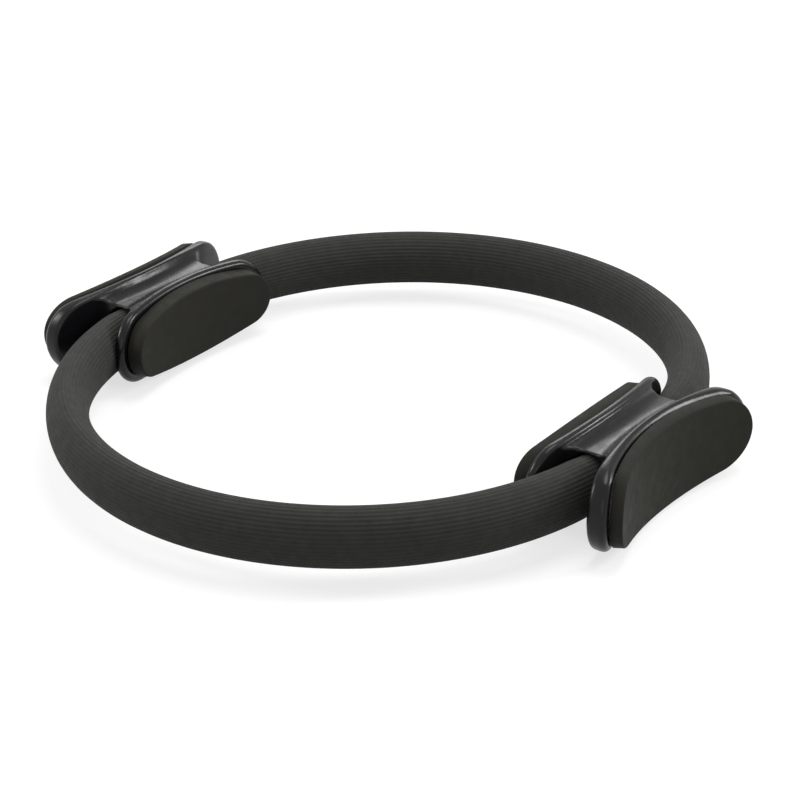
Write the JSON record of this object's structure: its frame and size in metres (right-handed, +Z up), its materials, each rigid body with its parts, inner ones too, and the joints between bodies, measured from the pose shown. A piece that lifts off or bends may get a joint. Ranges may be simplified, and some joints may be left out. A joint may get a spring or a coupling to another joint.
{
  "type": "pilates ring",
  "caption": "Flexible exercise hoop in a ribbed foam sleeve, with a gloss black handle at each side that carries a bowed foam pad inside and outside the hoop.",
  "frame": {"origin": "centre of the hoop, at half the height of the handles", "axes": "+Z up out of the hoop, +X towards the right handle, so the two handles lie on X"},
  "size_m": [0.3876, 0.3738, 0.0538],
  "materials": {
    "sleeve_foam": "matte",
    "pad_foam": "matte",
    "shell_plastic": "gloss",
    "spring_steel": "satin",
    "plated_steel": "satin",
    "tape": "matte"
  },
  "bodies": {
    "left_handle": {"left_outer_shell": "shell_plastic", "left_inner_shell": "shell_plastic", "left_outer_pad": "pad_foam", "left_inner_pad": "pad_foam", "left_outer_pad_tape": "tape", "left_inner_pad_tape": "tape", "left_shell_screws": "plated_steel"},
    "front_left_quarter": {"front_left_sleeve": "sleeve_foam", "front_left_inner_leaf": "spring_steel", "front_left_outer_leaf": "spring_steel"},
    "front_right_quarter": {"front_right_sleeve": "sleeve_foam", "front_right_inner_leaf": "spring_steel", "front_right_outer_leaf": "spring_steel"},
    "rear_right_quarter": {"rear_right_sleeve": "sleeve_foam", "rear_right_inner_leaf": "spring_steel", "rear_right_outer_leaf": "spring_steel"},
    "rear_left_quarter": {"rear_left_sleeve": "sleeve_foam", "rear_left_inner_leaf": "spring_steel", "rear_left_outer_leaf": "spring_steel"},
    "right_handle": {"right_outer_shell": "shell_plastic", "right_inner_shell": "shell_plastic", "right_outer_pad": "pad_foam", "right_inner_pad": "pad_foam", "right_outer_pad_tape": "tape", "right_inner_pad_tape": "tape", "right_splice_plate": "plated_steel", "right_shell_screws": "plated_steel"},
    "left_splice": {"left_splice_plate": "plated_steel"}
  },
  "joints": [
    {"name": "squeeze", "type": "hinge", "parent": "left_handle", "child": "front_left_quarter", "pos_m": [-0.15631, -0.0373, 0], "axis": [0, 0, -1], "range_deg": [-4, 15], "stiffness_Nm_per_rad": 124, "deforming": ["front_left_sleeve", "front_left_inner_leaf", "front_left_outer_leaf"]},
    {"name": "front_middle_bend", "type": "hinge", "parent": "front_left_quarter", "child": "front_right_quarter", "pos_m": [0, -0.1755, 0], "axis": [0, 0, 1], "range_deg": [-8, 30], "deforming": ["front_left_sleeve", "front_left_inner_leaf", "front_left_outer_leaf", "front_right_sleeve", "front_right_inner_leaf", "front_right_outer_leaf"]},
    {"name": "front_right_bend", "type": "hinge", "parent": "front_right_quarter", "child": "right_handle", "pos_m": [0.15631, -0.0373, 0], "axis": [0, 0, -1], "range_deg": [-4, 15], "deforming": ["front_right_sleeve", "front_right_inner_leaf", "front_right_outer_leaf"]},
    {"name": "rear_right_bend", "type": "hinge", "parent": "right_handle", "child": "rear_right_quarter", "pos_m": [0.15631, 0.0373, 0], "axis": [0, 0, -1], "range_deg": [-4, 15], "deforming": ["rear_right_sleeve", "rear_right_inner_leaf", "rear_right_outer_leaf"]},
    {"name": "rear_middle_bend", "type": "hinge", "parent": "rear_right_quarter", "child": "rear_left_quarter", "pos_m": [0, 0.1755, 0], "axis": [0, 0, 1], "range_deg": [-8, 30], "deforming": ["rear_right_sleeve", "rear_right_inner_leaf", "rear_right_outer_leaf", "rear_left_sleeve", "rear_left_inner_leaf", "rear_left_outer_leaf"]},
    {"name": "rear_left_bend", "type": "hinge", "parent": "rear_left_quarter", "child": "left_splice", "pos_m": [-0.15631, 0.0373, 0], "axis": [0, 0, -1], "range_deg": [-4, 15], "deforming": ["rear_left_sleeve", "rear_left_inner_leaf", "rear_left_outer_leaf"]}
  ],
  "couplings": [
    {"joint": "front_middle_bend", "follows": "squeeze", "ratio": 2},
    {"joint": "front_right_bend", "follows": "squeeze", "ratio": 1},
    {"joint": "rear_right_bend", "follows": "squeeze", "ratio": 1},
    {"joint": "rear_middle_bend", "follows": "squeeze", "ratio": 2},
    {"joint": "rear_left_bend", "follows": "squeeze", "ratio": 1}
  ]
}
